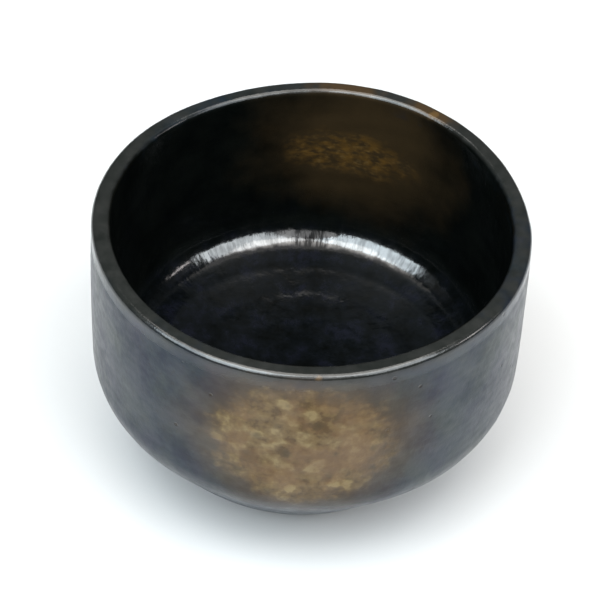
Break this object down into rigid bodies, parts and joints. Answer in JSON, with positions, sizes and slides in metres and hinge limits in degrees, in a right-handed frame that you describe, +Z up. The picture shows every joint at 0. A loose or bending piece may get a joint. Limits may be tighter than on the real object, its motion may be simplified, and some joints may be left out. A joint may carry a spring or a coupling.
{
  "type": "matcha bowl",
  "caption": "Handmade matcha tea bowl, near-cylindrical wall turning in to a small foot ring, dark glaze with ochre patches outside and inside, for whisking and drinking tea.",
  "frame": {"origin": "centre of the foot ring's contact face, on the bowl's axis", "axes": "+Z up along the bowl's axis; the outer ochre patch faces -Y; +X to the right of a viewer who faces the patch"},
  "size_m": [0.1216, 0.1216, 0.085],
  "materials": {
    "clay": "bare fired stoneware, dark brown, matte, fine grit",
    "foot_clay": "bare fired stoneware, trimmed, matte, slightly worn at the contact edge",
    "slip": "bare fired slip, matte",
    "outer_black_glaze": "satin gunmetal black, mottled, small pits",
    "inner_black_glaze": "gloss black with faint throwing rings",
    "lip_black_glaze": "satin black, a few ochre flecks",
    "outer_ochre_glaze": "dry ochre-gold, mottled, fading to brown at its edge",
    "inner_ochre_glaze": "golden brown under gloss, streaked, fading out"
  },
  "bodies": {
    "root": {"clay_body": "clay", "foot_ring": "foot_clay", "joining_slip": "slip", "outer_glaze": "outer_black_glaze", "inner_glaze": "inner_black_glaze", "lip_glaze": "lip_black_glaze", "outer_ochre_patch": "outer_ochre_glaze", "inner_ochre_patch": "inner_ochre_glaze"}
  },
  "joints": []
}
